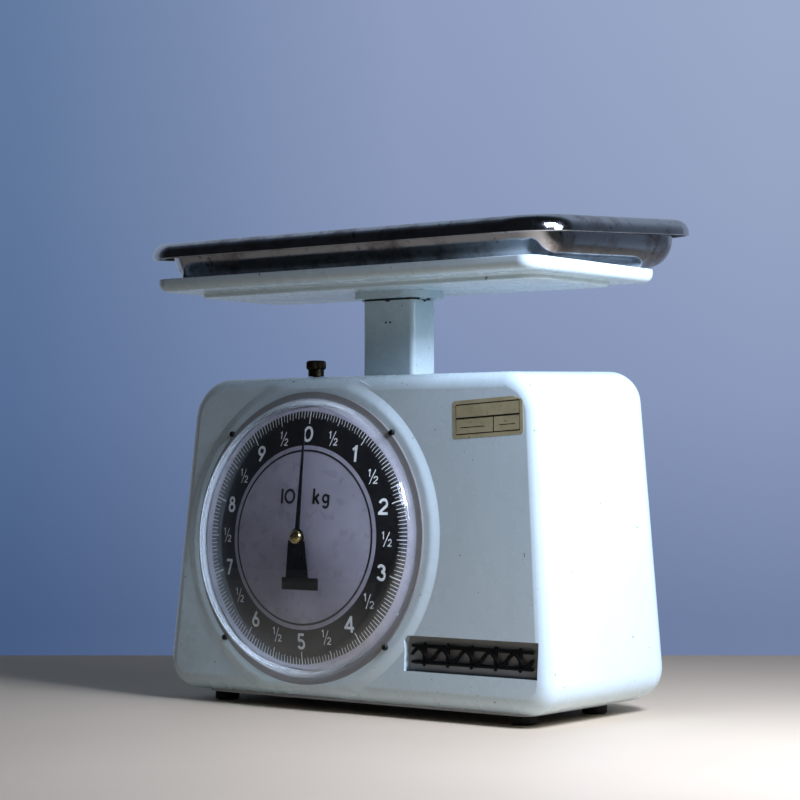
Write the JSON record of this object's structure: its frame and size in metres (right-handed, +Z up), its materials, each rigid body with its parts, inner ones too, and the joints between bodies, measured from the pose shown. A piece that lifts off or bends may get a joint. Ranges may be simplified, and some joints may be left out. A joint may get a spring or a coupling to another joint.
{
  "type": "weighing scale",
  "caption": "Upright kitchen scale: tapered enamel casing, round dial under a clear lens, sliding column with a tray platform, and a loose chrome pan.",
  "frame": {"origin": "on the ground, under the middle of the whole outline's bounding box", "axes": "+Z up, the dial faces -Y, +X to the right as one looks at the dial"},
  "size_m": [0.3026, 0.1707, 0.2869],
  "materials": {
    "enamel": "gloss enamel",
    "steel": "zinc plated",
    "blued_steel": "blued",
    "rubber": "matt",
    "clear": "clear",
    "dial_paint": "satin, printed",
    "black_paint": "satin",
    "paper": "aged paper",
    "brass": "turned",
    "knob_brass": "dark, tarnished",
    "chrome": "polished, worn"
  },
  "bodies": {
    "body": {"casing": "enamel", "base_plate": "steel", "foot_front_left": "rubber", "foot_front_right": "rubber", "foot_back_left": "rubber", "foot_back_right": "rubber", "foot_screws": "steel", "foot_nuts": "steel", "lens": "clear", "lens_screws": "blued_steel", "dial_plate": "dial_paint", "dial_posts": "steel", "badge_grille": "black_paint", "price_label": "paper", "front_plate": "steel", "rear_plate": "steel", "top_bridge": "steel", "bridge_screws": "steel", "frame_screws": "steel", "bearing_bracket": "steel", "bracket_screws": "steel", "front_bearing": "brass", "rear_bearing": "brass", "upper_pivot_pin": "steel", "lower_pivot_pin": "steel", "pivot_clips": "blued_steel", "main_spring": "steel"},
    "platform_group": {"column": "enamel", "platform": "enamel", "collar_plate": "enamel", "platform_rivets": "enamel", "column_foot": "steel", "foot_plate_screws": "steel", "rack": "brass", "rack_screws": "steel", "upper_column_pin": "steel", "lower_column_pin": "steel", "column_clips": "blued_steel"},
    "dial_shaft": {"spindle": "steel", "pinion": "brass", "pointer": "black_paint", "hub_nut": "brass"},
    "upper_arm_body": {"upper_arm": "steel"},
    "lower_arm_body": {"lower_arm": "steel"},
    "knob": {"zero_knob": "knob_brass"},
    "hanger": {"spring_hanger": "brass"},
    "pan_body": {"pan": "chrome"}
  },
  "joints": [
    {"name": "platform_slide", "type": "slide", "parent": "body", "child": "platform_group", "axis": [0, 0, -1], "range_m": [0, 0.02202], "stiffness_N_per_m": 4459, "springref_m": -0.0055, "deforming": ["main_spring"]},
    {"name": "pointer_turn", "type": "hinge", "parent": "body", "child": "dial_shaft", "pos_m": [-0.0305, -0.0617, 0.1004], "axis": [0, 0.9986, -0.0523], "range_deg": [0, 360.1]},
    {"name": "upper_arm_swing", "type": "hinge", "parent": "body", "child": "upper_arm_body", "pos_m": [0, 0.0283, 0.14299], "axis": [1, 0, 0], "range_deg": [0, 28.42]},
    {"name": "lower_arm_swing", "type": "hinge", "parent": "body", "child": "lower_arm_body", "pos_m": [0, 0.0283, 0.04699], "axis": [1, 0, 0], "range_deg": [0, 28.42]},
    {"name": "zero_knob_turn", "type": "hinge", "parent": "body", "child": "knob", "pos_m": [-0.048, -0.0347, 0.2], "axis": [0, 0, 1], "range_deg": [-720, 720]},
    {"name": "hanger_slide", "type": "slide", "parent": "body", "child": "hanger", "axis": [0, 0, 1], "range_m": [-0.00141, 0.00141]},
    {"name": "pan_lift", "type": "slide", "parent": "platform_group", "child": "pan_body", "axis": [0, 0, 1], "range_m": [0, 0.12]}
  ],
  "couplings": [
    {"joint": "pointer_turn", "follows": "platform_slide", "rad_per_m": 285.33},
    {"joint": "upper_arm_swing", "follows": "platform_slide", "rad_per_m": 22.516},
    {"joint": "lower_arm_swing", "follows": "platform_slide", "rad_per_m": 22.516},
    {"joint": "hanger_slide", "follows": "zero_knob_turn", "m_per_rad": 0.00011141}
  ]
}
